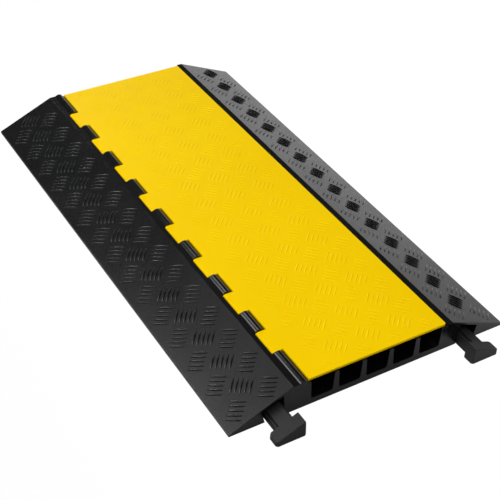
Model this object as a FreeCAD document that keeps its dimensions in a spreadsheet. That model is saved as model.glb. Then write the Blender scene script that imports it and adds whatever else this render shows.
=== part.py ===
import FreeCAD
import Part
import os

# Cable protector ramp, five covered channels.
# Frame: X across the ramp (hinge side at -X), Y along the channels, Z up.
# Origin: centre of the footprint, on the ground plane. Millimetres.
#
# Pieces: base_moulding (rubber), cover_lid (hinged lid), hinge_rod, rod_end_plug,
# link_connector_left and link_connector_right (T-headed links held in the end sockets).

doc = FreeCAD.newDocument("cable_protector_ramp")

# --------------------------------------------------------------------------------------
# Driving dimensions
# --------------------------------------------------------------------------------------
DIMS = [
    ("base_length", 900.0),        # along the channels
    ("base_width", 500.0),         # toe to toe
    ("toe_height", 4.0),           # blunt edge at each toe
    ("crest_height", 50.0),        # flat strips beside the lid, and the lid's top
    ("crest_left", 144.0),         # crest line to the middle, hinge side
    ("crest_right", 144.0),        # crest line to the middle, latch side
    ("deck_height", 46.0),         # tops of the walls, where the lid rests
    ("recess_right", 134.3),       # right wall of the lid's recess
    ("axis_across", 126.5),        # hinge axis to the middle
    ("axis_height", 43.5),         # hinge axis above the ground
    ("barrel_radius", 9.0),        # hinge knuckles, base and lid
    ("barrel_clear", 0.6),         # around the lid's knuckles
    ("rod_radius", 4.0),
    ("rod_clear", 0.06),           # rod to lid knuckle, running
    ("knuckle_pitch", 100.0),
    ("knuckle_count", 8.0),
    ("lid_knuckle", 49.4),         # length of one lid knuckle
    ("knuckle_roll", 5.0),         # radius where a lid knuckle's top rolls over
    ("base_pocket", 52.4),         # length of the gap between two base knuckles
    ("lid_length", 893.0),
    ("lid_left", 116.0),           # lid's left edge to the middle, between knuckles
    ("lid_right", 133.5),
    ("lid_corner", 3.0),
    ("channel_pitch", 49.0),
    ("channel_count", 5.0),
    ("channel_first", 92.7),       # middle of the first channel, left of the middle
    ("channel_top", 41.5),         # width at the wall tops
    ("channel_floor_width", 37.5), # width at the floor
    ("floor_height", 11.0),
    ("channel_chamfer", 2.5),
    ("rod_hole_depth", 890.0),
    ("rod_length", 879.0),
    ("rod_start", 439.0),          # near end of the rod to the middle
    ("plug_head_radius", 6.3),
    ("plug_seat_radius", 6.5),
    ("plug_head", 2.5),
    ("plug_seat", 3.0),
    ("plug_stem", 6.5),
    ("skin", 4.2),                 # rubber over the sockets, measured upright
    ("neck_depth", 26.0),          # socket neck behind the end face
    ("neck_in", 156.5),            # neck's wall nearest the channels, to the middle, at the ground
    ("neck_in_roof", 160.0),       # the same wall at its roof
    ("neck_out", 190.0),           # neck's outer wall, to the middle, at the ground
    ("neck_out_roof", 196.0),      # the same wall at its roof
    ("chamber_depth", 28.0),       # socket chamber behind the neck
    ("link_head_width", 51.0),
    ("link_head_depth", 22.0),
    ("link_half_length", 50.0),    # end face to the front of the head
    ("link_middle", 175.0),
    ("link_stem_in", 164.4),       # raised middle of the stem, side nearest the channels
    ("link_stem_out", 184.4),
    ("link_flange_in", 157.8),     # full width of the stem at the ground
    ("link_draft", 3.5),           # lean of the sides nearest the channels, over the height
    ("link_flange_out", 187.4),
    ("link_ledge_drop", 5.0),      # ledges below the leaning top
    ("link_fillet", 2.5),          # corner flats between stem and heads
    ("link_high", 31.0),           # top of the head at its inner side, before that side's lean
    ("link_low", 9.1),             # top of the head at its outer side
    ("link_chamfer", 3.0),
    ("cell_length", 58.5),         # hollow cells of the underside
    ("cell_span", 711.5),          # first cell's middle to the last cell's middle
    ("cell_count", 12.0),
    ("cell_skin", 5.0),            # rubber over the ramp cells, measured upright
    ("floor_cell_depth", 4.5),
    ("floor_cell_width", 34.0),
]

sheet = doc.addObject("Spreadsheet::Sheet", "dims")
VAL = {}
for row, (alias, value) in enumerate(DIMS, start=1):
    sheet.set("A%d" % row, alias)
    sheet.set("B%d" % row, repr(value))
    sheet.setAlias("B%d" % row, alias)
    VAL[alias] = value
doc.recompute()


class Q:
    """A number together with the sheet expression that drives it."""

    def __init__(self, v, t):
        self.v = float(v)
        self.t = t

    @staticmethod
    def of(o):
        return o if isinstance(o, Q) else Q(o, repr(float(o)))

    def __add__(self, o):
        o = Q.of(o)
        return Q(self.v + o.v, "(%s + %s)" % (self.t, o.t))

    def __radd__(self, o):
        return Q.of(o) + self

    def __sub__(self, o):
        o = Q.of(o)
        return Q(self.v - o.v, "(%s - %s)" % (self.t, o.t))

    def __rsub__(self, o):
        return Q.of(o) - self

    def __mul__(self, o):
        o = Q.of(o)
        return Q(self.v * o.v, "(%s * %s)" % (self.t, o.t))

    def __rmul__(self, o):
        return Q.of(o) * self

    def __truediv__(self, o):
        o = Q.of(o)
        return Q(self.v / o.v, "(%s / %s)" % (self.t, o.t))

    def __neg__(self):
        return Q(-self.v, "(0 - %s)" % self.t)


def q(alias):
    return Q(VAL[alias], "dims." + alias)


def plane(body, role):
    for f in body.Origin.OriginFeatures:
        if f.Role == role:
            return f
    raise RuntimeError("no origin feature " + role)


def new_sketch(body, name, role="XZ_Plane", along=None):
    """Sketch on an origin plane. along is its place on the Y axis for XZ sketches,
    or its height for XY sketches."""
    sk = body.newObject("Sketcher::SketchObject", name)
    sk.AttachmentSupport = (plane(body, role), [""])
    sk.MapMode = "FlatFace"
    if along is not None:
        d = -Q.of(along) if role == "XZ_Plane" else Q.of(along)
        sk.AttachmentOffset = FreeCAD.Placement(FreeCAD.Vector(0, 0, d.v), FreeCAD.Rotation())
        sk.setExpression("AttachmentOffset.Base.z", d.t)
    return sk


COUNTER = [0]


def tie(sk, constraint, quantity):
    i = sk.addConstraint(constraint)
    COUNTER[0] += 1
    name = "d%d" % COUNTER[0]
    sk.renameConstraint(i, name)
    sk.setExpression("Constraints." + name, quantity.t)


def pin_point(sk, geo, pos, x, y):
    x = Q.of(x)
    y = Q.of(y)
    import Sketcher
    if abs(x.v) < 1e-9:
        sk.addConstraint(Sketcher.Constraint("PointOnObject", geo, pos, -2))
    elif x.v > 0:
        tie(sk, Sketcher.Constraint("DistanceX", -1, 1, geo, pos, x.v), x)
    else:
        tie(sk, Sketcher.Constraint("DistanceX", geo, pos, -1, 1, -x.v), -x)
    if abs(y.v) < 1e-9:
        sk.addConstraint(Sketcher.Constraint("PointOnObject", geo, pos, -1))
    elif y.v > 0:
        tie(sk, Sketcher.Constraint("DistanceY", -1, 1, geo, pos, y.v), y)
    else:
        tie(sk, Sketcher.Constraint("DistanceY", geo, pos, -1, 1, -y.v), -y)


def polygon(sk, pts):
    import Sketcher
    pts = [(Q.of(a), Q.of(b)) for a, b in pts]
    n = len(pts)
    ids = []
    for i in range(n):
        a = pts[i]
        b = pts[(i + 1) % n]
        ids.append(sk.addGeometry(Part.LineSegment(FreeCAD.Vector(a[0].v, a[1].v, 0),
                                                   FreeCAD.Vector(b[0].v, b[1].v, 0)), False))
    for i in range(n):
        sk.addConstraint(Sketcher.Constraint("Coincident", ids[i], 2, ids[(i + 1) % n], 1))
    for i in range(n):
        pin_point(sk, ids[i], 1, pts[i][0], pts[i][1])


def circle(sk, x, y, r):
    import Sketcher
    x = Q.of(x)
    y = Q.of(y)
    r = Q.of(r)
    g = sk.addGeometry(Part.Circle(FreeCAD.Vector(x.v, y.v, 0), FreeCAD.Vector(0, 0, 1), r.v), False)
    pin_point(sk, g, 3, x, y)
    tie(sk, Sketcher.Constraint("Radius", g, r.v), r)


def mirror_pts(pts):
    return [(-Q.of(a), Q.of(b)) for a, b in reversed(pts)]


def bind(obj, prop, quantity):
    quantity = Q.of(quantity)
    setattr(obj, prop, quantity.v)
    obj.setExpression(prop, quantity.t)


def pad(body, sk, name, length, mid=True, reverse=False):
    f = body.newObject("PartDesign::Pad", name)
    f.Profile = sk
    bind(f, "Length", length)
    f.Midplane = mid
    f.Reversed = reverse
    doc.recompute()
    return f


def pocket(body, sk, name, length, mid=False, reverse=False):
    """A pocket, checked to have taken material away."""
    before = body.Shape.Volume
    f = body.newObject("PartDesign::Pocket", name)
    f.Profile = sk
    bind(f, "Length", length)
    f.Midplane = mid
    f.Reversed = reverse
    doc.recompute()
    if not f.Shape.Volume < before - 1.0:
        raise RuntimeError("%s cuts nothing" % name)
    return f


def pattern(body, feature, name, role, length, count):
    before = body.Shape.Volume
    f = body.newObject("PartDesign::LinearPattern", name)
    f.Originals = [feature]
    f.Direction = (plane(body, role), [""])
    bind(f, "Length", length)
    f.Occurrences = int(round(Q.of(count).v))
    f.setExpression("Occurrences", Q.of(count).t)
    body.Tip = f
    doc.recompute()
    if abs(f.Shape.Volume - before) < 1.0:
        raise RuntimeError("%s changes nothing" % name)
    return f


def mirrored(body, features, name, role):
    before = body.Shape.Volume
    f = body.newObject("PartDesign::Mirrored", name)
    f.Originals = features
    f.MirrorPlane = (plane(body, role), [""])
    body.Tip = f
    doc.recompute()
    if abs(f.Shape.Volume - before) < 1.0:
        raise RuntimeError("%s changes nothing" % name)
    return f


def new_body(name):
    b = doc.addObject("PartDesign::Body", name)
    b.Label = name
    return b


# Frequently used quantities
half_len = q("base_length") / 2
half_wid = q("base_width") / 2
toe = q("toe_height")
crest = q("crest_height")
deck = q("deck_height")
ax = -q("axis_across")
az = q("axis_height")
ramp_rise = (crest - toe) / (half_wid - q("crest_left"))   # rise per mm of the ramp


def ramp_z(x, less):
    """Height of the left ramp's surface at x (negative), lowered by less."""
    return toe + (x + half_wid) * ramp_rise - less


# --------------------------------------------------------------------------------------
# base_moulding: one rubber moulding
# --------------------------------------------------------------------------------------
base = new_body("base_moulding")

sk = new_sketch(base, "base_outline")
polygon(sk, [
    (-half_wid, 0.0),
    (half_wid, 0.0),
    (half_wid, toe),
    (q("crest_right"), crest),
    (q("recess_right"), crest),
    (q("recess_right"), deck),
    (ax, deck),
    (ax, crest),
    (-q("crest_left"), crest),
    (-half_wid, toe),
])
pad(base, sk, "base_block", q("base_length"))

# rounded hinge ridge, later cut into nine knuckles
sk = new_sketch(base, "ridge_outline")
circle(sk, ax, az, q("barrel_radius"))
pad(base, sk, "hinge_ridge", q("base_length"))

# one cable channel, open at the top, with leaning walls; repeated five times
cx = -q("channel_first")
ct = q("channel_top") / 2
cf = q("channel_floor_width") / 2
cc = q("channel_chamfer")
fl = q("floor_height")
lean = (ct - cf) / (deck - fl)
over = 6.0
sk = new_sketch(base, "channel_outline")
polygon(sk, [
    (cx - cf + cc, fl),
    (cx + cf - cc, fl),
    (cx + cf + lean * cc, fl + cc),
    (cx + ct + lean * over, deck + over),
    (cx - ct - lean * over, deck + over),
    (cx - cf - lean * cc, fl + cc),
])
f = pocket(base, sk, "channel", q("base_length") + 2.0, mid=True)
pattern(base, f, "channels", "X_Axis", q("channel_pitch") * (q("channel_count") - 1.0), q("channel_count"))

# gaps between the base knuckles, where the lid's knuckles turn
import Sketcher
clear_r = q("barrel_radius") + q("barrel_clear")
k_start = -(q("knuckle_pitch") * (q("knuckle_count") - 1.0) / 2)
k_run = q("knuckle_pitch") * (q("knuckle_count") - 1.0)
sk = new_sketch(base, "gap_outline", along=k_start)
top = 60.0
lx = (ax - clear_r)
rx = (ax + clear_r)
V = FreeCAD.Vector
g0 = sk.addGeometry(Part.LineSegment(V(lx.v, az.v, 0), V(lx.v, top, 0)), False)
g1 = sk.addGeometry(Part.LineSegment(V(lx.v, top, 0), V(rx.v, top, 0)), False)
g2 = sk.addGeometry(Part.LineSegment(V(rx.v, top, 0), V(rx.v, az.v, 0)), False)
g3 = sk.addGeometry(Part.ArcOfCircle(Part.Circle(V(ax.v, az.v, 0), V(0, 0, 1), clear_r.v),
                                     3.141592653589793, 6.283185307179586), False)
sk.addConstraint(Sketcher.Constraint("Coincident", g0, 2, g1, 1))
sk.addConstraint(Sketcher.Constraint("Coincident", g1, 2, g2, 1))
sk.addConstraint(Sketcher.Constraint("Coincident", g0, 1, g3, 1))
sk.addConstraint(Sketcher.Constraint("Coincident", g2, 2, g3, 2))
pin_point(sk, g3, 3, ax, az)
tie(sk, Sketcher.Constraint("Radius", g3, clear_r.v), clear_r)
sk.addConstraint(Sketcher.Constraint("Vertical", g0))
sk.addConstraint(Sketcher.Constraint("Vertical", g2))
sk.addConstraint(Sketcher.Constraint("Horizontal", g1))
tie(sk, Sketcher.Constraint("DistanceY", -1, 1, g0, 2, top), Q.of(top))
tie(sk, Sketcher.Constraint("DistanceY", -1, 1, g0, 1, az.v), az)
tie(sk, Sketcher.Constraint("DistanceY", -1, 1, g2, 2, az.v), az)
f = pocket(base, sk, "knuckle_gap", q("base_pocket"), mid=True)
pattern(base, f, "knuckle_gaps", "Y_Axis", k_run, q("knuckle_count"))

# blind hole for the rod, drilled from the far end, with a seat for the plug
sk = new_sketch(base, "rod_hole_outline", along=half_len)
circle(sk, ax, az, q("rod_radius"))
pocket(base, sk, "rod_hole", q("rod_hole_depth"), reverse=True)
sk = new_sketch(base, "plug_seat_outline", along=half_len)
circle(sk, ax, az, q("plug_seat_radius"))
pocket(base, sk, "plug_seat_hole", q("plug_seat"), reverse=True)

# T-shaped sockets for the links: a neck at the end face and a wider chamber behind it,
# both open underneath, their roofs following the ramp
n_in = -q("neck_in")
n_out = -q("neck_out")
r_in = -q("neck_in_roof")
r_out = -q("neck_out_roof")
neck = [
    (n_out, 0.0),
    (n_in, 0.0),
    (r_in, ramp_z(r_in, q("skin"))),
    (r_out, ramp_z(r_out, q("skin"))),
]
c_in = -(q("link_middle") - q("link_head_width") / 2 - 3.0)
c_out = -(q("link_middle") + q("link_head_width") / 2 + 3.0)
chamber = [
    (c_out, 0.0),
    (c_in, 0.0),
    (c_in, ramp_z(c_in, q("skin"))),
    (c_out, ramp_z(c_out, q("skin"))),
]
sk = new_sketch(base, "neck_outline", along=-half_len)
polygon(sk, neck)
polygon(sk, mirror_pts(neck))
necks = pocket(base, sk, "socket_necks", q("neck_depth"))
sk = new_sketch(base, "chamber_outline", along=-(half_len - q("neck_depth")))
polygon(sk, chamber)
polygon(sk, mirror_pts(chamber))
chambers = pocket(base, sk, "socket_chambers", q("chamber_depth"))
mirrored(base, [necks, chambers], "far_sockets", "XZ_Plane")

# hollow underside: two rows of cells under each ramp, shallow cells under the channels
sk = new_sketch(base, "cell_outline", along=-(q("cell_span") / 2))
for xo, xi in ((-229.0, -192.0), (-186.0, -149.0)):
    xo = Q.of(xo)
    xi = Q.of(xi)
    cell = [(xo, 0.0), (xi, 0.0), (xi, ramp_z(xi, q("cell_skin"))), (xo, ramp_z(xo, q("cell_skin")))]
    polygon(sk, cell)
    polygon(sk, mirror_pts(cell))
for i in range(5):
    mid_x = cx + q("channel_pitch") * float(i)
    hw = q("floor_cell_width") / 2
    polygon(sk, [(mid_x - hw, 0.0), (mid_x + hw, 0.0),
                 (mid_x + hw, q("floor_cell_depth")), (mid_x - hw, q("floor_cell_depth"))])
f = pocket(base, sk, "underside_cell", q("cell_length"), mid=True)
pattern(base, f, "underside_cells", "Y_Axis", q("cell_span"), q("cell_count"))

# --------------------------------------------------------------------------------------
# cover_lid: flat lid with eight hinge knuckles
# --------------------------------------------------------------------------------------
lid = new_body("cover_lid")
sk = new_sketch(lid, "lid_outline")
polygon(sk, [
    (-q("lid_left"), deck),
    (q("lid_right"), deck),
    (q("lid_right"), crest),
    (-q("lid_left"), crest),
])
slab = pad(lid, sk, "lid_slab", q("lid_length"))

# rounded corners on the free edge
edges = []
for i, e in enumerate(slab.Shape.Edges, start=1):
    vs = [v.Point for v in e.Vertexes]
    if len(vs) == 2 and abs(vs[0].x - VAL["lid_right"]) < 0.01 and abs(vs[1].x - VAL["lid_right"]) < 0.01 \
            and abs(abs(vs[0].z - vs[1].z) - (VAL["crest_height"] - VAL["deck_height"])) < 0.01:
        edges.append("Edge%d" % i)
if len(edges) != 2:
    raise RuntimeError("lid corner edges not found")
f = lid.newObject("PartDesign::Fillet", "lid_corners")
f.Base = (slab, edges)
bind(f, "Radius", q("lid_corner"))
doc.recompute()

sk = new_sketch(lid, "barrel_outline", along=k_start)
circle(sk, ax, az, q("barrel_radius"))
b1 = pad(lid, sk, "lid_barrel", q("lid_knuckle"))
pattern(lid, b1, "lid_barrels", "Y_Axis", k_run, q("knuckle_count"))
sk = new_sketch(lid, "web_outline", along=k_start)
polygon(sk, [
    (ax + 2.5, deck),
    (-q("lid_left") + 1.0, deck),
    (-q("lid_left") + 1.0, crest),
    (ax + 2.5, crest),
])
b2 = pad(lid, sk, "lid_web", q("lid_knuckle"))
pattern(lid, b2, "lid_webs", "Y_Axis", k_run, q("knuckle_count"))

# the knuckles' tops are level with the lid and roll over towards the ramp
sk = new_sketch(lid, "knuckle_top_outline")
polygon(sk, [
    (ax - q("barrel_radius") - 1.0, crest),
    (-q("lid_left"), crest),
    (-q("lid_left"), crest + 6.0),
    (ax - q("barrel_radius") - 1.0, crest + 6.0),
])
level = pocket(lid, sk, "knuckle_tops", q("base_length"), mid=True)
left_x = VAL["barrel_radius"] ** 2 - (VAL["crest_height"] - VAL["axis_height"]) ** 2
left_x = -VAL["axis_across"] - left_x ** 0.5
edges = []
for i, e in enumerate(level.Shape.Edges, start=1):
    vs = [v.Point for v in e.Vertexes]
    if len(vs) == 2 and all(abs(v.x - left_x) < 0.02 and abs(v.z - VAL["crest_height"]) < 0.02 for v in vs):
        edges.append("Edge%d" % i)
if len(edges) != int(VAL["knuckle_count"]):
    raise RuntimeError("knuckle edges found: %d" % len(edges))
f = lid.newObject("PartDesign::Fillet", "knuckle_roll")
f.Base = (level, edges)
bind(f, "Radius", q("knuckle_roll"))
doc.recompute()

sk = new_sketch(lid, "lid_bore_outline")
circle(sk, ax, az, q("rod_radius") + q("rod_clear"))
pocket(lid, sk, "lid_bore", q("base_length") + 2.0, mid=True)

# --------------------------------------------------------------------------------------
# hinge_rod
# --------------------------------------------------------------------------------------
rod = new_body("hinge_rod")
sk = new_sketch(rod, "rod_outline", along=-q("rod_start"))
circle(sk, ax, az, q("rod_radius"))
p = pad(rod, sk, "rod_bar", q("rod_length"), mid=False, reverse=True)
if abs(p.Shape.BoundBox.YMin + VAL["rod_start"]) > 0.01:
    raise RuntimeError("rod runs the wrong way")
f = rod.newObject("PartDesign::Chamfer", "rod_ends")
f.Base = (p, ["Edge%d" % i for i, e in enumerate(p.Shape.Edges, start=1)
              if isinstance(e.Curve, Part.Circle)])
f.Size = 0.8
doc.recompute()

# --------------------------------------------------------------------------------------
# rod_end_plug: a shallow head in its seat and a stem pressed into the rod's hole
# --------------------------------------------------------------------------------------
plug = new_body("rod_end_plug")
seat_y = half_len - q("plug_seat")
sk = new_sketch(plug, "plug_head_outline", along=seat_y)
circle(sk, ax, az, q("plug_head_radius"))
p = pad(plug, sk, "plug_head_disc", q("plug_head"), mid=False, reverse=True)
if p.Shape.BoundBox.YMin < seat_y.v - 0.01:
    raise RuntimeError("plug head runs the wrong way")
sk = new_sketch(plug, "plug_stem_outline", along=seat_y)
circle(sk, ax, az, q("rod_radius"))
p = pad(plug, sk, "plug_stem_bar", q("plug_stem"), mid=False, reverse=False)
if p.Shape.BoundBox.YMin > seat_y.v - VAL["plug_stem"] + 0.01:
    raise RuntimeError("plug stem runs the wrong way")

# --------------------------------------------------------------------------------------
# link connectors: a T head at each end, a stem between, tops leaning like the ramp
# --------------------------------------------------------------------------------------


def link(name, side):
    """side -1 is under the left ramp, +1 under the right ramp."""
    body = new_body(name)
    ch = q("link_chamfer")
    hl = q("link_half_length")
    hd = q("link_head_depth")
    mid_y = -half_len
    xi = q("link_middle") - q("link_head_width") / 2
    xo = q("link_middle") + q("link_head_width") / 2
    si = q("link_flange_in")
    so = q("link_flange_out")
    fi = q("link_fillet")
    s = float(side)

    def pt(x, y):
        return (x * s, mid_y + y)

    outline = [
        pt(xi + ch, -hl), pt(xo - ch, -hl), pt(xo, -hl + ch), pt(xo, -hl + hd - ch), pt(xo - ch, -hl + hd),
        pt(so + fi, -hl + hd), pt(so, -hl + hd + fi), pt(so, hl - hd - fi), pt(so + fi, hl - hd),
        pt(xo - ch, hl - hd), pt(xo, hl - hd + ch), pt(xo, hl - ch), pt(xo - ch, hl), pt(xi + ch, hl),
        pt(xi, hl - ch), pt(xi, hl - hd + ch), pt(xi + ch, hl - hd),
        pt(si, hl - hd), pt(si, -hl + hd),
        pt(xi + ch, -hl + hd), pt(xi, -hl + hd - ch), pt(xi, -hl + ch),
    ]
    if side > 0:
        outline = list(reversed(outline))
    sk = new_sketch(body, name + "_plan", role="XY_Plane")
    polygon(sk, outline)
    pad(body, sk, name + "_block", Q.of(34.0), mid=False)

    # leaning top
    slope = (q("link_high") - q("link_low")) / q("link_head_width")

    def top_z(x):
        return q("link_high") - (x - xi) * slope

    wedge = [((xi - 3.0) * s, top_z(xi - 3.0)), ((xo + 3.0) * s, top_z(xo + 3.0)), ((xo + 3.0) * s, Q.of(40.0)),
             ((xi - 3.0) * s, Q.of(40.0))]
    if side < 0:
        wedge = list(reversed(wedge))
    sk = new_sketch(body, name + "_lean", along=-half_len)
    polygon(sk, wedge)
    pocket(body, sk, name + "_top", Q.of(140.0), mid=True)

    # heads and stem: the sides nearest the channels lean away from them
    lean = q("link_draft")
    for tag, foot, run in (("head", xi, Q.of(140.0)), ("stem", si, (hl - hd) * 2.0)):
        side_cut = [((foot - 1.0) * s, Q.of(0.0)), (foot * s, Q.of(0.0)), ((foot + lean) * s, Q.of(30.0)),
                    ((foot - 1.0) * s, Q.of(30.0))]
        if tag == "head":
            side_cut = [((foot - 1.0) * s, Q.of(0.0)), (foot * s, Q.of(0.0)), ((foot + lean * 1.1) * s, Q.of(33.0)),
                        ((foot - 1.0) * s, Q.of(33.0))]
        if side > 0:
            side_cut = list(reversed(side_cut))
        sk = new_sketch(body, name + "_" + tag + "_draft", along=-half_len)
        polygon(sk, side_cut)
        pocket(body, sk, name + "_" + tag + "_side", run, mid=True)

    # ledges along both sides of the stem, parallel to the leaning top
    sk = new_sketch(body, name + "_ledge_outline", along=-half_len)
    drop = q("link_ledge_drop")
    for near, far in ((q("link_stem_out"), so + fi + 1.0), (q("link_stem_in"), si - 1.0)):
        ledge = [(near * s, top_z(near) - drop), (far * s, top_z(far) - drop), (far * s, Q.of(40.0)),
                 (near * s, Q.of(40.0))]
        polygon(sk, ledge)
    pocket(body, sk, name + "_ledge", (hl - hd) * 2.0, mid=True)
    return body


link_l = link("link_connector_left", -1)
link_r = link("link_connector_right", 1)

# --------------------------------------------------------------------------------------
# Check everything, then write one STEP file per piece
# --------------------------------------------------------------------------------------
doc.recompute()
bad = []
for o in doc.Objects:
    if "Invalid" in o.State or "Error" in o.State:
        bad.append((o.Name, o.State))
if bad:
    raise RuntimeError("failed objects: %s" % bad)
for o in doc.Objects:
    if o.TypeId == "Sketcher::SketchObject":
        o.solve()
        if not o.FullyConstrained:
            print("not fully constrained:", o.Name)

pieces = [base, lid, rod, plug, link_l, link_r]
for b in pieces:
    s = b.Shape
    if s.isNull() or not s.isValid() or len(s.Solids) != 1:
        raise RuntimeError("%s is not one valid solid" % b.Label)

os.makedirs("parts", exist_ok=True)
for b in pieces:
    b.Shape.exportStep(os.path.join("parts", b.Label + ".step"))
    bb = b.Shape.BoundBox
    print("%-22s vol %12.1f mm3  box %s" % (b.Label, b.Shape.Volume, [round(v, 2) for v in (
        bb.XMin, bb.YMin, bb.ZMin, bb.XMax, bb.YMax, bb.ZMax)]))
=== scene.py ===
import math

import bmesh
import bpy
from mathutils import Matrix, Vector
from mathutils.geometry import delaunay_2d_cdt


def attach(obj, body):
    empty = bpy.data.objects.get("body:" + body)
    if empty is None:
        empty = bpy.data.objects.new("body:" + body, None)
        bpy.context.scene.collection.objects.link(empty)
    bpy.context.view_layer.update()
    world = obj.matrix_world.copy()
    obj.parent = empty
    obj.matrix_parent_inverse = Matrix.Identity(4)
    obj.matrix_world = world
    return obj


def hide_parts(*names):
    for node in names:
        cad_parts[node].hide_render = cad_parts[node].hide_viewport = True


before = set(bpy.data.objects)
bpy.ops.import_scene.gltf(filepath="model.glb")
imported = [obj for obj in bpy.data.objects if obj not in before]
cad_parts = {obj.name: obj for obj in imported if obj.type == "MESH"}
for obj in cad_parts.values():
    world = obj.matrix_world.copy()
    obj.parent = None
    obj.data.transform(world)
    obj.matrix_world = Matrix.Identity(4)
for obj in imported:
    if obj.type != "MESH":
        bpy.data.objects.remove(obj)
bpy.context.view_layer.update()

# ------------------------------------------------------------------ sizes, metres
W2 = 0.250            # half width
L2 = 0.450            # half length
TOE = 0.004
CREST_X = 0.144
CREST_Z = 0.050
RISE = (CREST_Z - TOE) / (W2 - CREST_X)
SLOPE = math.atan(RISE)
PITCH = 0.0582        # tread pattern pitch
AX, AZ = -0.1265, 0.0435


# ------------------------------------------------------------------ small node helpers
class Mat:
    """Builds a node material with a few short calls."""

    def __init__(self, name):
        self.m = bpy.data.materials.new(name)
        self.m.use_nodes = True
        self.t = self.m.node_tree
        self.t.nodes.clear()
        self.out = self.t.nodes.new("ShaderNodeOutputMaterial")
        self.b = self.t.nodes.new("ShaderNodeBsdfPrincipled")
        self.t.links.new(self.b.outputs[0], self.out.inputs[0])
        tc = self.t.nodes.new("ShaderNodeTexCoord")
        self.pos = tc.outputs["Object"]

    def node(self, kind, **props):
        n = self.t.nodes.new(kind)
        for k, v in props.items():
            setattr(n, k, v)
        return n

    def link(self, a, b):
        self.t.links.new(a, b)

    def put(self, sock, v):
        if hasattr(v, "links") or hasattr(v, "is_output"):
            self.link(v, sock)
        else:
            sock.default_value = v

    def math(self, op, a, b=0.0, clamp=False):
        n = self.node("ShaderNodeMath", operation=op, use_clamp=clamp)
        self.put(n.inputs[0], a)
        self.put(n.inputs[1], b)
        return n.outputs[0]

    def noise(self, scale, detail=3.0, rough=0.55, vec=None, dist=0.0):
        n = self.node("ShaderNodeTexNoise")
        self.link(vec or self.pos, n.inputs["Vector"])
        n.inputs["Scale"].default_value = scale
        n.inputs["Detail"].default_value = detail
        n.inputs["Roughness"].default_value = rough
        n.inputs["Distortion"].default_value = dist
        return n.outputs["Fac"]

    def voronoi(self, scale, feature="F1", vec=None):
        n = self.node("ShaderNodeTexVoronoi", feature=feature)
        self.link(vec or self.pos, n.inputs["Vector"])
        n.inputs["Scale"].default_value = scale
        return n.outputs["Distance"]

    def stretch(self, sx, sy, sz, rz=0.0):
        n = self.node("ShaderNodeMapping")
        self.link(self.pos, n.inputs["Vector"])
        n.inputs["Scale"].default_value = (sx, sy, sz)
        n.inputs["Rotation"].default_value = (0.0, 0.0, rz)
        return n.outputs[0]

    def ramp(self, fac, stops):
        n = self.node("ShaderNodeValToRGB")
        self.link(fac, n.inputs[0])
        e = n.color_ramp.elements
        while len(e) > len(stops):
            e.remove(e[-1])
        while len(e) < len(stops):
            e.new(0.5)
        for i, (p, c) in enumerate(stops):
            e[i].position = p
            e[i].color = c if isinstance(c, tuple) else (c, c, c, 1.0)
        return n.outputs["Color"]

    def remap(self, v, a0, a1, b0, b1):
        n = self.node("ShaderNodeMapRange", clamp=True)
        self.put(n.inputs["Value"], v)
        for k, x in zip(("From Min", "From Max", "To Min", "To Max"), (a0, a1, b0, b1)):
            n.inputs[k].default_value = x
        return n.outputs["Result"]

    def mix(self, fac, a, b):
        n = self.node("ShaderNodeMix", data_type="RGBA", clamp_factor=True)
        self.put(n.inputs[0], fac)
        self.put(n.inputs[6], a)
        self.put(n.inputs[7], b)
        return n.outputs[2]

    def xyz(self):
        n = self.node("ShaderNodeSeparateXYZ")
        self.link(self.pos, n.inputs[0])
        return n.outputs

    def attr(self, name):
        n = self.node("ShaderNodeAttribute", attribute_name=name)
        return n.outputs["Fac"]

    def bump(self, pairs):
        """pairs: (height, distance in metres, strength), from the broad ones to the fine ones."""
        last = None
        for h, dist, st in pairs:
            n = self.node("ShaderNodeBump")
            self.link(h, n.inputs["Height"])
            n.inputs["Distance"].default_value = dist
            n.inputs["Strength"].default_value = st
            if last is not None:
                self.link(last, n.inputs["Normal"])
            last = n.outputs[0]
        self.link(last, self.b.inputs["Normal"])

    def set(self, **kw):
        for k, v in kw.items():
            self.put(self.b.inputs[k.replace("_", " ")], v)


def rgb(r, g, b):
    return (r, g, b, 1.0)


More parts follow.
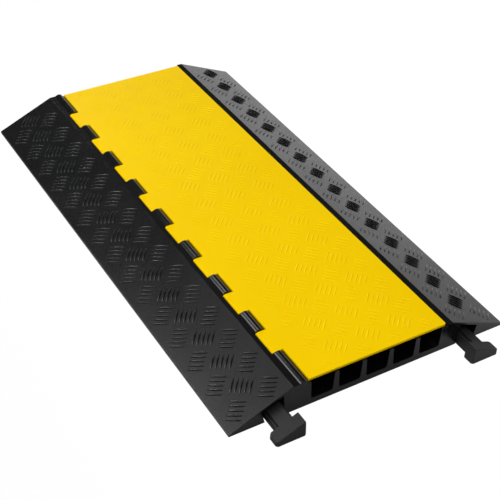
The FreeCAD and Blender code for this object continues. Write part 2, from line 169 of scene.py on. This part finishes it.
def rubber(name, dark, light, rough, zones=False, spec=0.35):
    """Moulded black rubber: fine cast grain, cloudy bloom, faint dust, polished tread tops."""
    m = Mat(name)
    cloud = m.noise(9.0, 5.0, 0.6)
    fine = m.noise(900.0, 4.0, 0.7)
    speck = m.noise(260.0, 3.0, 0.6)
    streak = m.noise(30.0, 4.0, 0.65, vec=m.stretch(4.0, 0.7, 1.0))
    c = m.ramp(cloud, [(0.30, rgb(*dark)), (0.72, rgb(*light))])
    dusty = tuple(min(1.0, v * 1.9 + 0.010) for v in light)
    c = m.mix(m.remap(streak, 0.56, 0.80, 0.0, 0.14), c, rgb(*dusty))
    c = m.mix(m.remap(speck, 0.63, 0.76, 0.0, 0.16), c, rgb(*dusty))
    wear = m.attr("wear")
    worn = m.math("MULTIPLY", wear, m.remap(m.noise(70.0, 4.0, 0.6), 0.38, 0.62, 0.15, 0.9))
    c = m.mix(worn, c, rgb(*tuple(v * 1.35 + 0.004 for v in light)))
    r = m.remap(cloud, 0.25, 0.75, rough - 0.02, rough + 0.03)
    r = m.math("ADD", r, m.remap(speck, 0.3, 0.7, -0.02, 0.02))
    r = m.math("SUBTRACT", r, m.math("MULTIPLY", worn, 0.07))
    if zones:
        # flat strips beside the lid and the hinge ridge: tool-polished, with lower roughness, and darker than the
        # slopes through painted shade in their colour
        x, y, z = m.xyz()
        ax = m.math("ABSOLUTE", x)
        strip_polish_shade = m.remap(ax, 0.1436, 0.1446, 1.0, 0.0)
        strip_polish_shade = m.math("MULTIPLY", strip_polish_shade, m.remap(z, 0.0445, 0.0462, 0.0, 1.0))
        c = m.mix(m.math("MULTIPLY", strip_polish_shade, 0.55), c, rgb(dark[0] * 0.55, dark[1] * 0.57, dark[2] * 0.66))
        r = m.math("SUBTRACT", r, m.math("MULTIPLY", strip_polish_shade, 0.06))
        # inside of the cable channels: painted shade, the colour darkened to near black, matt and darkest; no wear
        # reaches it
        duct_shade = m.math("MULTIPLY", m.remap(ax, 0.1128, 0.1138, 1.0, 0.0), m.remap(z, 0.0100, 0.0110, 0.0, 1.0))
        duct_shade = m.math("MULTIPLY", duct_shade, m.remap(m.math("ABSOLUTE", y), 0.4480, 0.4492, 1.0, 0.0))
        duct_shade = m.math("MULTIPLY", duct_shade, m.remap(z, 0.0458, 0.0462, 1.0, 0.0))
        c = m.mix(m.math("MULTIPLY", duct_shade, 0.85), c, rgb(0.0012, 0.0012, 0.0013))
        r = m.math("ADD", r, m.math("MULTIPLY", duct_shade, 0.35))
        # scuffed line along each crest and toe
        line = m.math("ABSOLUTE", m.math("SUBTRACT", ax, 0.1440))
        line = m.remap(line, 0.0, 0.0016, 1.0, 0.0)
        toe = m.remap(ax, 0.2470, 0.2500, 0.0, 1.0)
        scuff = m.math("MAXIMUM", line, toe)
        scuff = m.math("MULTIPLY", scuff, m.remap(m.noise(48.0, 5.0, 0.65), 0.45, 0.66, 0.0, 0.55))
        c = m.mix(scuff, c, rgb(*tuple(v * 2.2 + 0.012 for v in light)))
        r = m.math("ADD", r, m.math("MULTIPLY", scuff, 0.10))
    m.set(Base_Color=c, Roughness=r)
    if zones:
        # painted shade: the specular is turned down inside the cable channels
        m.put(m.b.inputs["Specular IOR Level"], m.remap(duct_shade, 0.0, 1.0, spec, 0.05))
    else:
        m.b.inputs["Specular IOR Level"].default_value = spec
    m.bump([(m.noise(26.0, 2.0), 0.0004, 0.05), (speck, 0.00018, 0.07), (fine, 0.00008, 0.16)])
    return m.m


def yellow_lid(name):
    """Satin yellow moulded plastic with a fine leathery cast grain and light handling marks."""
    m = Mat(name)
    cloud = m.noise(5.0, 4.0, 0.55)
    fine = m.noise(1100.0, 3.0, 0.6)
    pebble = m.voronoi(520.0, "SMOOTH_F1")
    c = m.ramp(cloud, [(0.25, rgb(0.930, 0.600, 0.0004)), (0.75, rgb(0.965, 0.640, 0.0007))])
    # faint grey rubbing where wheels and boots cross
    x, y, z = m.xyz()
    rub = m.noise(14.0, 6.0, 0.7, vec=m.stretch(2.6, 0.8, 1.0, 0.5))
    rub = m.remap(rub, 0.60, 0.82, 0.0, 0.16)
    c = m.mix(rub, c, rgb(0.66, 0.42, 0.02))
    scr = m.noise(120.0, 2.0, 0.5, vec=m.stretch(0.10, 2.4, 1.0, 0.35))
    scr = m.remap(scr, 0.69, 0.74, 0.0, 0.20)
    c = m.mix(scr, c, rgb(0.95, 0.70, 0.10))
    wear = m.attr("wear")
    c = m.mix(m.math("MULTIPLY", wear, 0.22), c, rgb(0.93, 0.64, 0.015))
    # painted shade: below the top face (underside, lower edges, curled-down knuckles) the yellow darkens to a
    # brownish tone
    lid_under_shade = m.remap(z, 0.0455, 0.0485, 0.55, 0.0)
    c = m.mix(lid_under_shade, c, rgb(0.62, 0.33, 0.004))
    r = m.remap(cloud, 0.25, 0.75, 0.50, 0.58)
    r = m.math("ADD", r, m.remap(m.noise(300.0, 3.0), 0.3, 0.7, -0.04, 0.04))
    r = m.math("ADD", r, m.math("MULTIPLY", rub, 0.5))
    m.set(Base_Color=c, Roughness=r)
    m.b.inputs["Specular IOR Level"].default_value = 0.06
    m.b.inputs["Specular Tint"].default_value = rgb(1.0, 0.70, 0.02)
    m.bump([(m.noise(18.0, 2.0), 0.0008, 0.06), (pebble, 0.00018, 0.25), (fine, 0.00006, 0.25)])
    return m.m


def steel(name):
    m = Mat(name)
    drawn = m.noise(60.0, 4.0, 0.6, vec=m.stretch(9.0, 0.25, 9.0))
    rust = m.noise(35.0, 6.0, 0.7)
    c = m.ramp(drawn, [(0.3, rgb(0.36, 0.36, 0.37)), (0.7, rgb(0.56, 0.56, 0.57))])
    spot = m.remap(rust, 0.62, 0.74, 0.0, 0.8)
    c = m.mix(spot, c, rgb(0.20, 0.085, 0.035))
    m.set(Base_Color=c, Roughness=m.math("ADD", m.remap(drawn, 0.3, 0.7, 0.28, 0.42), m.math("MULTIPLY", spot, 0.4)),
          Metallic=m.math("SUBTRACT", 1.0, spot))
    m.bump([(drawn, 0.00008, 0.3), (rust, 0.0001, 0.2)])
    return m.m


RUBBER = rubber("moulded_rubber", (0.0040, 0.0040, 0.0042), (0.0062, 0.0062, 0.0065), 0.235, zones=True, spec=0.5)
LINK = rubber("link_rubber", (0.0156, 0.0156, 0.0161), (0.0221, 0.0221, 0.0229), 0.46, spec=0.32)
PLUG = rubber("plug_rubber", (0.0100, 0.0100, 0.0105), (0.0180, 0.0180, 0.0185), 0.60)
YELLOW = yellow_lid("lid_yellow")
STEEL = steel("drawn_steel")


# ------------------------------------------------------------------ mesh helpers
def clean_copy(node):
    """A tidy bmesh of a CAD node: welded, flat areas dissolved into large faces."""
    bm = bmesh.new()
    bm.from_mesh(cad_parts[node].data)
    bmesh.ops.remove_doubles(bm, verts=bm.verts, dist=3e-6)
    bmesh.ops.dissolve_limit(bm, angle_limit=math.radians(0.4), verts=bm.verts, edges=bm.edges)
    for f in bm.faces:
        f.smooth = any(len(e.link_faces) == 2 and math.radians(0.6) < e.calc_face_angle(0.0) < math.radians(24.0)
                       for e in f.edges)
    return bm


def round_edges(bm, offset, min_deg=24.0, keep=None, segments=2):
    edges = []
    for e in bm.edges:
        if len(e.link_faces) != 2:
            continue
        if e.calc_face_angle(0.0) < math.radians(min_deg):
            continue
        if keep is not None and not keep(e):
            continue
        edges.append(e)
    out = bmesh.ops.bevel(bm, geom=edges, offset=offset, offset_type="OFFSET", segments=segments, profile=0.55,
                    affect="EDGES", clamp_overlap=True, loop_slide=True, material=-1)
    for f in out["faces"]:
        f.smooth = True


def half_width(t, width):
    """Half width of a tread bar at t = -1..1 along it: full body, rounded ends."""
    return (width / 2) * max(0.0, 1.0 - abs(t) ** 3.6) ** 0.55


def lens(length, width, n):
    """Outline of one tread bar, n points a side."""
    pts = []
    for i in range(n + 1):
        t = -math.cos(math.pi * i / n)
        pts.append((t * length / 2, -half_width(t, width)))
    for i in range(1, n):
        t = math.cos(math.pi * i / n)
        pts.append((t * length / 2, half_width(t, width)))
    return pts


def bar_height(x, y, length, width):
    """Height of a bar above its ground, 0 to 1: crowned across, long easy run-outs at both ends."""
    t = min(1.0, abs(x) / (length / 2))
    q = min(1.0, abs(y) / max(1e-9, half_width(t, width)))
    return (1.0 - t ** 2.6) * (1.0 - q ** (2.2 + 5.0 * t * t)) ** 0.85


RINGS = [0.93, 0.82, 0.68, 0.50, 0.28]


def tread_region(bm, wear, plane_pt, normal, axis_u, groups, length, width, height, gap, inside=None, n=9):
    """Replaces every face that lies on one plane with a triangulated face carrying raised bars.
    groups: (u, v, angle) middles of five-bar groups in the plane's own coordinates."""
    normal = Vector(normal).normalized()
    U = Vector(axis_u).normalized()
    V = normal.cross(U).normalized()
    O = Vector(plane_pt)
    faces = [f for f in bm.faces if f.normal.dot(normal) > 0.99999
             and abs((f.calc_center_median() - O).dot(normal)) < 1e-5
             and all(abs((v.co - O).dot(normal)) < 2e-5 for v in f.verts)]
    if inside is not None:
        faces = [f for f in faces if inside(f.calc_center_median())]
    if not faces:
        raise RuntimeError("no faces found for a tread")
    fset = set(faces)
    edges = set()
    for f in faces:
        for e in f.edges:
            if sum(1 for g in e.link_faces if g in fset) == 1:
                edges.add(e)
    verts = []
    index = {}
    for e in edges:
        for v in e.verts:
            if v not in index:
                index[v] = len(verts)
                verts.append(v)
    mat_index = faces[0].material_index
    border = [(index[e.verts[0]], index[e.verts[1]]) for e in edges]
    coords = [Vector(((v.co - O).dot(U), (v.co - O).dot(V))) for v in verts]
    bmesh.ops.delete(bm, geom=faces, context="FACES_KEEP_BOUNDARY")

    # order the border loop for the inside test
    nxt = {}
    for a, b in border:
        nxt.setdefault(a, []).append(b)
        nxt.setdefault(b, []).append(a)
    loops = []
    left = set(nxt)
    while left:
        s = min(left)
        loop = [s]
        left.discard(s)
        prev, cur = None, s
        while True:
            step = [k for k in nxt[cur] if k != prev and k in left]
            if not step:
                break
            prev, cur = cur, step[0]
            loop.append(cur)
            left.discard(cur)
        loops.append(loop)

    def in_border(x, y):
        odd = False
        for loop in loops:
            m = len(loop)
            for i in range(m):
                x1, y1 = coords[loop[i]]
                x2, y2 = coords[loop[(i + 1) % m]]
                if (y1 > y) != (y2 > y) and x < (x2 - x1) * (y - y1) / (y2 - y1) + x1:
                    odd = not odd
        return odd

    base = lens(length, width, n)
    n_border = len(coords)
    all_coords = list(coords)
    all_edges = list(border)
    owner = [-1] * n_border
    bars = []
    margin = 0.0012
    for gu, gv, ang in groups:
        ca, sa = math.cos(ang), math.sin(ang)
        for k in range(-2, 3):
            cu = gu - sa * gap * k
            cv = gv + ca * gap * k
            pts = [(cu + ca * x - sa * y, cv + sa * x + ca * y) for x, y in base]
            tips = [(cu + ca * x * 1.04, cv + sa * x * 1.04) for x in (-length / 2, length / 2)]
            wide = [(cu + (p[0] - cu) * 1.0 + 0.0, p[1]) for p in pts]
            if not all(in_border(px, py) for px, py in wide + tips):
                continue
            bid = len(bars)
            start = len(all_coords)
            for px, py in pts:
                all_coords.append(Vector((px, py)))
                owner.append(bid)
            m = len(pts)
            all_edges += [(start + i, start + (i + 1) % m) for i in range(m)]
            bars.append((start, m, cu, cv, ca, sa))

    cdt = delaunay_2d_cdt(all_coords, all_edges, [], 0, 1e-8, True)
    out_v, _, out_f, orig_v = cdt[0], cdt[1], cdt[2], cdt[3]

    bmv = []
    for i, co in enumerate(out_v):
        src = orig_v[i]
        if src and src[0] < n_border:
            bmv.append(verts[src[0]])
        else:
            nv = bm.verts.new(O + U * co[0] + V * co[1])
            bmv.append(nv)
    rev = {}
    for i, src in enumerate(orig_v):
        for s in src:
            rev[s] = i
    own = [(owner[src[0]] if src else -1) for src in orig_v]
    for f in out_f:
        ids = list(f)
        o = {own[i] for i in ids}
        if len(o) == 1 and -1 not in o:
            continue
        cx = sum(out_v[i][0] for i in ids) / len(ids)
        cy = sum(out_v[i][1] for i in ids) / len(ids)
        if not in_border(cx, cy):
            continue
        vs = [bmv[i] for i in ids]
        if len(set(vs)) < 3:
            continue
        try:
            nf = bm.faces.new(vs)
        except ValueError:
            continue
        nf.material_index = mat_index
        nf.normal_update()
        if nf.normal.dot(normal) < 0:
            nf.normal_flip()
        nf.smooth = False
    # raised bars
    for start, m, cu, cv, ca, sa in bars:
        ring = [bmv[rev[start + i]] for i in range(m)]
        for sc in RINGS:
            new = []
            for i in range(m):
                bx, by = base[i][0] * sc, base[i][1] * sc
                hh = bar_height(bx, by, length, width)
                x = cu + ca * bx - sa * by
                y = cv + sa * bx + ca * by
                nv = bm.verts.new(O + U * x + V * y + normal * (height * hh))
                nv[wear] = hh
                new.append(nv)
            for i in range(m):
                q = bm.faces.new((ring[i], ring[(i + 1) % m], new[(i + 1) % m], new[i]))
                q.smooth = True
                q.material_index = mat_index
            ring = new
        top = bm.verts.new(O + U * cu + V * cv + normal * height)
        top[wear] = 1.0
        for i in range(m):
            q = bm.faces.new((ring[i], ring[(i + 1) % m], top))
            q.smooth = True
            q.material_index = mat_index
    return len(bars)


def to_object(bm, name, mat, body, replaces, angle=28.0):
    bmesh.ops.recalc_face_normals(bm, faces=bm.faces)
    for e in bm.edges:
        e.smooth = not (len(e.link_faces) == 2 and e.calc_face_angle(0.0) > math.radians(angle))
    me = bpy.data.meshes.new(name)
    bm.to_mesh(me)
    bm.free()
    ob = bpy.data.objects.new(name, me)
    bpy.context.scene.collection.objects.link(ob)
    me.materials.clear()
    me.materials.append(mat)
    for p in me.polygons:
        p.material_index = 0
    if "custom_normal" in me.attributes:
        me.attributes.remove(me.attributes["custom_normal"])
    # normals follow the large faces, so the flats shade flat right up to their rounded edges
    mod = ob.modifiers.new("even", "WEIGHTED_NORMAL")
    mod.mode = "FACE_AREA"
    mod.weight = 50
    mod.keep_sharp = True
    dg = bpy.context.evaluated_depsgraph_get()
    final = bpy.data.meshes.new_from_object(ob.evaluated_get(dg))
    ob.modifiers.clear()
    ob.data = final
    final.name = name
    bpy.data.meshes.remove(me)
    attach(ob, body)
    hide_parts(replaces)
    return ob


def report(bm, name):
    bad = sum(1 for e in bm.edges if len(e.link_faces) != 2)
    print("MESH %-22s verts %6d faces %6d open_edges %d" % (name, len(bm.verts), len(bm.faces), bad))


# ------------------------------------------------------------------ base moulding
bm = clean_copy("base_moulding")
report(bm, "base clean")
round_edges(bm, 0.0009)
report(bm, "base rounded")
wear = bm.verts.layers.float.new("wear")
D = math.radians(45)
slope_len = (W2 - CREST_X) / math.cos(SLOPE)


def slope_u(x):
    """Distance up the slope from the toe for a horizontal distance |x| from the middle."""
    return (W2 - abs(x)) / math.cos(SLOPE)


cols = [(0.2239, -0.25, 1), (0.1972, 0.25, -1), (0.1705, -0.25, 1)]
left_groups = []
right_groups = []
for cx, off, kind in cols:
    for k in range(-7, 8):
        y = (k + off) * PITCH
        # left slope: u runs up the slope (towards +X), v runs along -Y ... set from the plane below
        left_groups.append((slope_u(cx), y, kind))
        right_groups.append((slope_u(cx), y, kind))

# left slope plane: u = up the slope (+X and +Z), v = normal x u
nl = Vector((-math.sin(SLOPE), 0, math.cos(SLOPE)))
ul = Vector((math.cos(SLOPE), 0, math.sin(SLOPE)))
# nl x ul = +Y
n1 = tread_region(bm, wear, (-W2, 0, TOE), nl, ul,
                  [(u, y, D if kind < 0 else -D) for u, y, kind in left_groups],
                  0.0278, 0.0032, 0.00185, 0.0077)
nr = Vector((math.sin(SLOPE), 0, math.cos(SLOPE)))
ur = Vector((-math.cos(SLOPE), 0, math.sin(SLOPE)))
# nr x ur = -Y, so v = -y
n2 = tread_region(bm, wear, (W2, 0, TOE), nr, ur,
                  [(u, -y, -D if kind < 0 else D) for u, y, kind in right_groups],
                  0.0278, 0.0032, 0.00185, 0.0077)
report(bm, "base treaded")
print("BARS", n1, n2)
base_ob = to_object(bm, "base_shell", RUBBER, "base", "base_moulding")

# ------------------------------------------------------------------ lid
bm = clean_copy("cover_lid")
report(bm, "lid clean")
round_edges(bm, 0.0007)
report(bm, "lid rounded")
wear = bm.verts.layers.float.new("wear")
groups = []
for i in range(-1, 2):
    for k in range(-7, 8):
        groups.append((0.0145 + PITCH * i, PITCH * k, D))
for i in range(-2, 2):
    for k in range(-8, 8):
        groups.append((0.0145 + PITCH * (i + 0.5), PITCH * (k + 0.5), -D))
n3 = tread_region(bm, wear, (0, 0, 0.050), (0, 0, 1), (1, 0, 0), groups, 0.0266, 0.0031, 0.00052, 0.0077,
                  inside=lambda c: c.x > -0.117)
report(bm, "lid treaded")
print("BARS lid", n3)
lid_ob = to_object(bm, "lid_panel", YELLOW, "lid", "cover_lid")

# ------------------------------------------------------------------ links
links = []
for side in ("left", "right"):
    bm = clean_copy("link_connector_" + side)
    round_edges(bm, 0.0009, segments=3)
    report(bm, "link " + side)
    links.append(to_object(bm, "link_tee_" + side, LINK, "link_" + side, "link_connector_" + side))

# ------------------------------------------------------------------ carried-over CAD nodes
for node, mat in (("hinge_rod", STEEL), ("rod_end_plug", PLUG)):
    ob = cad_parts[node]
    ob.data.materials.clear()
    ob.data.materials.append(mat)

# ------------------------------------------------------------------ floor
floor_me = bpy.data.meshes.new("floor")
floor_me.from_pydata([(-14, -14, -0.0002), (14, -14, -0.0002), (14, 14, -0.0002), (-14, 14, -0.0002)], [], [(0, 1, 2, 3)])
floor = bpy.data.objects.new("floor", floor_me)
bpy.context.scene.collection.objects.link(floor)
fm = Mat("floor_pale")
fx = fm.xyz()[0]
# painted light and shade: the floor colour runs dark on the far left and bright to the right, so the end faces
# mirror it; camera rays see mostly the even white glow
floor_shade_light = fm.math("ADD", fm.remap(fx, -0.50, -0.28, 0.06, 0.36), fm.remap(fx, 0.05, 0.28, 0.0, 0.60))
floor_shade_light = fm.math("ADD", floor_shade_light, fm.remap(fm.noise(1.2, 2.0), 0.3, 0.7, -0.01, 0.01))
fcol = fm.node("ShaderNodeCombineColor")
for i in range(3):
    fm.link(floor_shade_light, fcol.inputs[i])
fm.set(Base_Color=fcol.outputs[0], Roughness=0.95)
fm.b.inputs["Specular IOR Level"].default_value = 0.05
lit = fm.node("ShaderNodeEmission")
lit.inputs[0].default_value = (1.0, 1.0, 1.0, 1.0)
lit.inputs[1].default_value = 1.05
lp = fm.node("ShaderNodeLightPath")
mx = fm.node("ShaderNodeMixShader")
fm.link(fm.math("MULTIPLY", lp.outputs["Is Camera Ray"], 0.94), mx.inputs[0])
fm.link(fm.b.outputs[0], mx.inputs[1])
fm.link(lit.outputs[0], mx.inputs[2])
fm.link(mx.outputs[0], fm.out.inputs[0])
floor_me.materials.append(fm.m)
# the floor stays under the lower link, so a unit lifted off its loose links leaves them standing on it
drop = floor.driver_add("location", 2).driver
drop.type = "MIN"
for ob in links:
    var = drop.variables.new()
    var.type = "TRANSFORMS"
    var.targets[0].id = ob
    var.targets[0].transform_type = "LOC_Z"
    var.targets[0].transform_space = "WORLD_SPACE"
    print("LINK z", ob.name, round(ob.matrix_world.translation.z, 6))

# ------------------------------------------------------------------ light
world = bpy.data.worlds.new("studio")
bpy.context.scene.world = world
world.use_nodes = True
wt = world.node_tree
wt.nodes.clear()


def wnode(kind, **props):
    n = wt.nodes.new(kind)
    for k, v in props.items():
        setattr(n, k, v)
    return n


def wmath(op, a, b=0.0):
    n = wnode("ShaderNodeMath", operation=op)
    for sock, v in zip(n.inputs, (a, b)):
        if hasattr(v, "is_output"):
            wt.links.new(v, sock)
        else:
            sock.default_value = v
    return n.outputs[0]


def wrange(v, a0, a1, b0, b1):
    n = wnode("ShaderNodeMapRange", clamp=True, interpolation_type="SMOOTHSTEP")
    wt.links.new(v, n.inputs["Value"])
    for k, x in zip(("From Min", "From Max", "To Min", "To Max"), (a0, a1, b0, b1)):
        n.inputs[k].default_value = x
    return n.outputs["Result"]


tc = wnode("ShaderNodeTexCoord")
sp = wnode("ShaderNodeSeparateXYZ")
wt.links.new(tc.outputs["Generated"], sp.inputs[0])
band = wrange(sp.outputs[2], 0.06, 0.20, 1.55, 0.0)
back = wmath("MULTIPLY", wrange(sp.outputs[1], -0.10, 0.35, 0.02, 1.0), wrange(sp.outputs[1], 0.48, 0.66, 0.40, 1.0))
sky = wmath("MULTIPLY", wrange(sp.outputs[2], 0.30, 0.55, 0.02, 0.08), wrange(sp.outputs[1], 0.05, 0.50, 0.10, 1.0))
level = wmath("ADD", wmath("MULTIPLY", band, back), sky)
# a low soft band behind the camera, so the far sides read as well
rear = wmath("MULTIPLY", wrange(sp.outputs[2], 0.05, 0.14, 0.0, 1.0), wrange(sp.outputs[2], 0.34, 0.52, 0.5, 0.0))
rear = wmath("MULTIPLY", rear, wrange(sp.outputs[1], -0.62, -0.38, 1.0, 0.0))
level = wmath("ADD", level, rear)
lpw = wnode("ShaderNodeLightPath")
level = wmath("MAXIMUM", level, wmath("MULTIPLY", lpw.outputs["Is Camera Ray"], 1.0))
bg = wnode("ShaderNodeBackground")
bg.inputs[0].default_value = (1.0, 1.0, 1.0, 1.0)
wt.links.new(level, bg.inputs[1])
wo = wnode("ShaderNodeOutputWorld")
wt.links.new(bg.outputs[0], wo.inputs[0])


def area(name, loc, target, size, radiance, size_y=None, spread=180.0, glossy=True):
    """Soft box whose face has the given radiance."""
    li = bpy.data.lights.new(name, "AREA")
    li.shape = "RECTANGLE"
    li.size = size
    li.size_y = size_y or size
    li.energy = radiance * math.pi * li.size * li.size_y
    li.spread = math.radians(spread)
    ob = bpy.data.objects.new(name, li)
    bpy.context.scene.collection.objects.link(ob)
    ob.location = loc
    d = Vector(target) - Vector(loc)
    ob.rotation_euler = d.to_track_quat("-Z", "Y").to_euler()
    ob.visible_glossy = glossy
    return ob


area("diffuse_fill", (-0.3, -0.9, 2.2), (0.0, -0.25, 0.0), 2.4, 2.45, 2.2, glossy=False)
area("soft_box", (-1.70, 0.80, 1.70), (-1.70, 0.80, 0.0), 1.2, 4.8, 1.8)
area("soft_box_edge", (-0.80, 0.70, 1.70), (-0.80, 0.70, 0.0), 0.6, 0.6, 1.2)
area("top_box", (0.05, 1.25, 1.75), (0.05, 1.25, 0.0), 0.7, 4.0, 0.6)
area("back_strip", (0.72, 3.0, 0.52), (0.0, 0.0, 0.05), 0.75, 12.0, 0.5)
area("side_box", (-2.2, 2.3, 1.25), (0.0, 0.0, 0.05), 0.8, 4.0, 0.8)

# ------------------------------------------------------------------ camera
cam = bpy.data.cameras.new("camera")
cam.sensor_width = 36.0
cam.lens = 83.48
cam_ob = bpy.data.objects.new("camera", cam)
bpy.context.scene.collection.objects.link(cam_ob)
cam_ob.location = (-0.81822, -1.42021, 1.23446)
cam_ob.rotation_euler = (math.radians(51.5268), math.radians(-1.5445), math.radians(-30.2072))
bpy.context.scene.camera = cam_ob
vs = bpy.context.scene.view_settings
vs.view_transform = "Standard"
vs.look = "None"
vs.exposure = 0.0
vs.gamma = 1.0
